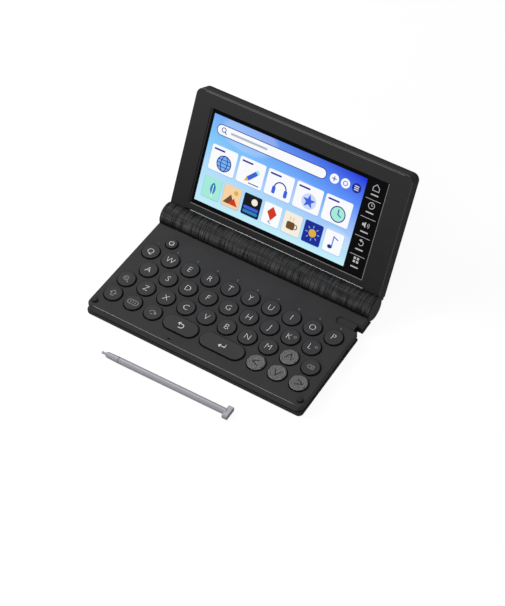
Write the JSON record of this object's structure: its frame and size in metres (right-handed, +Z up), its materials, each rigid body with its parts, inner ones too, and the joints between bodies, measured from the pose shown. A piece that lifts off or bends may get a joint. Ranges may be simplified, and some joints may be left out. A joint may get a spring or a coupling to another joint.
{
  "type": "electronic dictionary",
  "caption": "Pocket electronic dictionary: keyboard base with round keys, a thick hinge barrel that holds the batteries, a lid with a touch screen, and a loose stylus.",
  "frame": {"origin": "on the table, under the centre of the base (half-way between its front edge and the back of the hinge barrel)", "axes": "+X to the user's right along the hinge, +Y away from the user, +Z up"},
  "size_m": [0.1548, 0.1626, 0.0832],
  "materials": {
    "case_plastic": "fine matte",
    "deck_plastic": "fine matte",
    "barrel_plastic": "fine ribbed",
    "lid_plastic": "fine matte",
    "key_plastic": "matte",
    "arrow_plastic": "speckled satin",
    "cell_jacket": "shrink sleeve",
    "spring_steel": "plain",
    "plated_steel": "plated",
    "black_steel": "blackened",
    "circuit_board": "solder mask",
    "grey_rubber": "silicone",
    "black_rubber": "matte",
    "speaker_body": "moulded",
    "screen_glass": "polished",
    "screen_panel": "screen behind glass",
    "stylus_plastic": "satin"
  },
  "bodies": {
    "base": {"bottom_case": "case_plastic", "key_deck": "deck_plastic", "battery_barrel": "barrel_plastic", "battery_cells": "cell_jacket", "battery_contacts": "spring_steel", "main_board": "circuit_board", "key_rubber_sheet": "grey_rubber", "stylus_silo": "case_plastic", "speaker": "speaker_body", "data_port": "plated_steel", "case_screws": "black_steel", "rubber_feet": "black_rubber", "stop_pads": "black_rubber", "hinge_housings": "spring_steel"},
    "lid": {"lid_back_cover": "lid_plastic", "lid_bezel": "lid_plastic", "touch_glass": "screen_glass", "lcd_module": "screen_panel", "hinge_knuckles": "barrel_plastic", "hinge_shafts": "spring_steel"},
    "battery_cover": {"battery_cover": "barrel_plastic"},
    "stylus": {"stylus": "stylus_plastic"},
    "key_text_size": {"key_text_size": "key_plastic"},
    "key_shift": {"key_shift": "key_plastic"},
    "key_symbol": {"key_symbol": "key_plastic"},
    "key_jump": {"key_jump": "key_plastic"},
    "key_back": {"key_back": "key_plastic"},
    "key_enter": {"key_enter": "key_plastic"},
    "key_delete": {"key_delete": "key_plastic"},
    "key_power": {"key_power": "key_plastic"},
    "key_q": {"key_q": "key_plastic"},
    "key_w": {"key_w": "key_plastic"},
    "key_e": {"key_e": "key_plastic"},
    "key_r": {"key_r": "key_plastic"},
    "key_t": {"key_t": "key_plastic"},
    "key_y": {"key_y": "key_plastic"},
    "key_u": {"key_u": "key_plastic"},
    "key_i": {"key_i": "key_plastic"},
    "key_o": {"key_o": "key_plastic"},
    "key_p": {"key_p": "key_plastic"},
    "key_a": {"key_a": "key_plastic"},
    "key_s": {"key_s": "key_plastic"},
    "key_d": {"key_d": "key_plastic"},
    "key_f": {"key_f": "key_plastic"},
    "key_g": {"key_g": "key_plastic"},
    "key_h": {"key_h": "key_plastic"},
    "key_j": {"key_j": "key_plastic"},
    "key_k": {"key_k": "key_plastic"},
    "key_l": {"key_l": "key_plastic"},
    "key_z": {"key_z": "key_plastic"},
    "key_x": {"key_x": "key_plastic"},
    "key_c": {"key_c": "key_plastic"},
    "key_v": {"key_v": "key_plastic"},
    "key_b": {"key_b": "key_plastic"},
    "key_n": {"key_n": "key_plastic"},
    "key_m": {"key_m": "key_plastic"},
    "key_up": {"key_up": "arrow_plastic"},
    "key_left": {"key_left": "arrow_plastic"},
    "key_down": {"key_down": "arrow_plastic"},
    "key_right": {"key_right": "arrow_plastic"}
  },
  "joints": [
    {"name": "lid_hinge", "type": "hinge", "parent": "base", "child": "lid", "pos_m": [0, 0.0392, 0.0091], "axis": [-1, 0, 0], "range_deg": [-119.9, 32]},
    {"name": "battery_cover_slide", "type": "slide", "parent": "base", "child": "battery_cover", "axis": [0, 1, 0], "range_m": [0, 0.018]},
    {"name": "stylus_lift", "type": "slide", "parent": "base", "child": "stylus", "axis": [0, 0, 1], "range_m": [0, 0.1]},
    {"name": "key_text_size_press", "type": "slide", "parent": "base", "child": "key_text_size", "axis": [0, 0, -1], "range_m": [0, 0.0006], "stiffness_N_per_m": 350, "springref_m": -0.0006},
    {"name": "key_shift_press", "type": "slide", "parent": "base", "child": "key_shift", "axis": [0, 0, -1], "range_m": [0, 0.0006], "stiffness_N_per_m": 350, "springref_m": -0.0006},
    {"name": "key_symbol_press", "type": "slide", "parent": "base", "child": "key_symbol", "axis": [0, 0, -1], "range_m": [0, 0.0006], "stiffness_N_per_m": 350, "springref_m": -0.0006},
    {"name": "key_jump_press", "type": "slide", "parent": "base", "child": "key_jump", "axis": [0, 0, -1], "range_m": [0, 0.0006], "stiffness_N_per_m": 350, "springref_m": -0.0006},
    {"name": "key_back_press", "type": "slide", "parent": "base", "child": "key_back", "axis": [0, 0, -1], "range_m": [0, 0.0006], "stiffness_N_per_m": 350, "springref_m": -0.0006},
    {"name": "key_enter_press", "type": "slide", "parent": "base", "child": "key_enter", "axis": [0, 0, -1], "range_m": [0, 0.0006], "stiffness_N_per_m": 350, "springref_m": -0.0006},
    {"name": "key_delete_press", "type": "slide", "parent": "base", "child": "key_delete", "axis": [0, 0, -1], "range_m": [0, 0.0006], "stiffness_N_per_m": 350, "springref_m": -0.0006},
    {"name": "key_power_press", "type": "slide", "parent": "base", "child": "key_power", "axis": [0, 0, -1], "range_m": [0, 0.0006], "stiffness_N_per_m": 350, "springref_m": -0.0006},
    {"name": "key_q_press", "type": "slide", "parent": "base", "child": "key_q", "axis": [0, 0, -1], "range_m": [0, 0.0006], "stiffness_N_per_m": 350, "springref_m": -0.0006},
    {"name": "key_w_press", "type": "slide", "parent": "base", "child": "key_w", "axis": [0, 0, -1], "range_m": [0, 0.0006], "stiffness_N_per_m": 350, "springref_m": -0.0006},
    {"name": "key_e_press", "type": "slide", "parent": "base", "child": "key_e", "axis": [0, 0, -1], "range_m": [0, 0.0006], "stiffness_N_per_m": 350, "springref_m": -0.0006},
    {"name": "key_r_press", "type": "slide", "parent": "base", "child": "key_r", "axis": [0, 0, -1], "range_m": [0, 0.0006], "stiffness_N_per_m": 350, "springref_m": -0.0006},
    {"name": "key_t_press", "type": "slide", "parent": "base", "child": "key_t", "axis": [0, 0, -1], "range_m": [0, 0.0006], "stiffness_N_per_m": 350, "springref_m": -0.0006},
    {"name": "key_y_press", "type": "slide", "parent": "base", "child": "key_y", "axis": [0, 0, -1], "range_m": [0, 0.0006], "stiffness_N_per_m": 350, "springref_m": -0.0006},
    {"name": "key_u_press", "type": "slide", "parent": "base", "child": "key_u", "axis": [0, 0, -1], "range_m": [0, 0.0006], "stiffness_N_per_m": 350, "springref_m": -0.0006},
    {"name": "key_i_press", "type": "slide", "parent": "base", "child": "key_i", "axis": [0, 0, -1], "range_m": [0, 0.0006], "stiffness_N_per_m": 350, "springref_m": -0.0006},
    {"name": "key_o_press", "type": "slide", "parent": "base", "child": "key_o", "axis": [0, 0, -1], "range_m": [0, 0.0006], "stiffness_N_per_m": 350, "springref_m": -0.0006},
    {"name": "key_p_press", "type": "slide", "parent": "base", "child": "key_p", "axis": [0, 0, -1], "range_m": [0, 0.0006], "stiffness_N_per_m": 350, "springref_m": -0.0006},
    {"name": "key_a_press", "type": "slide", "parent": "base", "child": "key_a", "axis": [0, 0, -1], "range_m": [0, 0.0006], "stiffness_N_per_m": 350, "springref_m": -0.0006},
    {"name": "key_s_press", "type": "slide", "parent": "base", "child": "key_s", "axis": [0, 0, -1], "range_m": [0, 0.0006], "stiffness_N_per_m": 350, "springref_m": -0.0006},
    {"name": "key_d_press", "type": "slide", "parent": "base", "child": "key_d", "axis": [0, 0, -1], "range_m": [0, 0.0006], "stiffness_N_per_m": 350, "springref_m": -0.0006},
    {"name": "key_f_press", "type": "slide", "parent": "base", "child": "key_f", "axis": [0, 0, -1], "range_m": [0, 0.0006], "stiffness_N_per_m": 350, "springref_m": -0.0006},
    {"name": "key_g_press", "type": "slide", "parent": "base", "child": "key_g", "axis": [0, 0, -1], "range_m": [0, 0.0006], "stiffness_N_per_m": 350, "springref_m": -0.0006},
    {"name": "key_h_press", "type": "slide", "parent": "base", "child": "key_h", "axis": [0, 0, -1], "range_m": [0, 0.0006], "stiffness_N_per_m": 350, "springref_m": -0.0006},
    {"name": "key_j_press", "type": "slide", "parent": "base", "child": "key_j", "axis": [0, 0, -1], "range_m": [0, 0.0006], "stiffness_N_per_m": 350, "springref_m": -0.0006},
    {"name": "key_k_press", "type": "slide", "parent": "base", "child": "key_k", "axis": [0, 0, -1], "range_m": [0, 0.0006], "stiffness_N_per_m": 350, "springref_m": -0.0006},
    {"name": "key_l_press", "type": "slide", "parent": "base", "child": "key_l", "axis": [0, 0, -1], "range_m": [0, 0.0006], "stiffness_N_per_m": 350, "springref_m": -0.0006},
    {"name": "key_z_press", "type": "slide", "parent": "base", "child": "key_z", "axis": [0, 0, -1], "range_m": [0, 0.0006], "stiffness_N_per_m": 350, "springref_m": -0.0006},
    {"name": "key_x_press", "type": "slide", "parent": "base", "child": "key_x", "axis": [0, 0, -1], "range_m": [0, 0.0006], "stiffness_N_per_m": 350, "springref_m": -0.0006},
    {"name": "key_c_press", "type": "slide", "parent": "base", "child": "key_c", "axis": [0, 0, -1], "range_m": [0, 0.0006], "stiffness_N_per_m": 350, "springref_m": -0.0006},
    {"name": "key_v_press", "type": "slide", "parent": "base", "child": "key_v", "axis": [0, 0, -1], "range_m": [0, 0.0006], "stiffness_N_per_m": 350, "springref_m": -0.0006},
    {"name": "key_b_press", "type": "slide", "parent": "base", "child": "key_b", "axis": [0, 0, -1], "range_m": [0, 0.0006], "stiffness_N_per_m": 350, "springref_m": -0.0006},
    {"name": "key_n_press", "type": "slide", "parent": "base", "child": "key_n", "axis": [0, 0, -1], "range_m": [0, 0.0006], "stiffness_N_per_m": 350, "springref_m": -0.0006},
    {"name": "key_m_press", "type": "slide", "parent": "base", "child": "key_m", "axis": [0, 0, -1], "range_m": [0, 0.0006], "stiffness_N_per_m": 350, "springref_m": -0.0006},
    {"name": "key_up_press", "type": "slide", "parent": "base", "child": "key_up", "axis": [0, 0, -1], "range_m": [0, 0.0006], "stiffness_N_per_m": 350, "springref_m": -0.0006},
    {"name": "key_left_press", "type": "slide", "parent": "base", "child": "key_left", "axis": [0, 0, -1], "range_m": [0, 0.0006], "stiffness_N_per_m": 350, "springref_m": -0.0006},
    {"name": "key_down_press", "type": "slide", "parent": "base", "child": "key_down", "axis": [0, 0, -1], "range_m": [0, 0.0006], "stiffness_N_per_m": 350, "springref_m": -0.0006},
    {"name": "key_right_press", "type": "slide", "parent": "base", "child": "key_right", "axis": [0, 0, -1], "range_m": [0, 0.0006], "stiffness_N_per_m": 350, "springref_m": -0.0006}
  ]
}
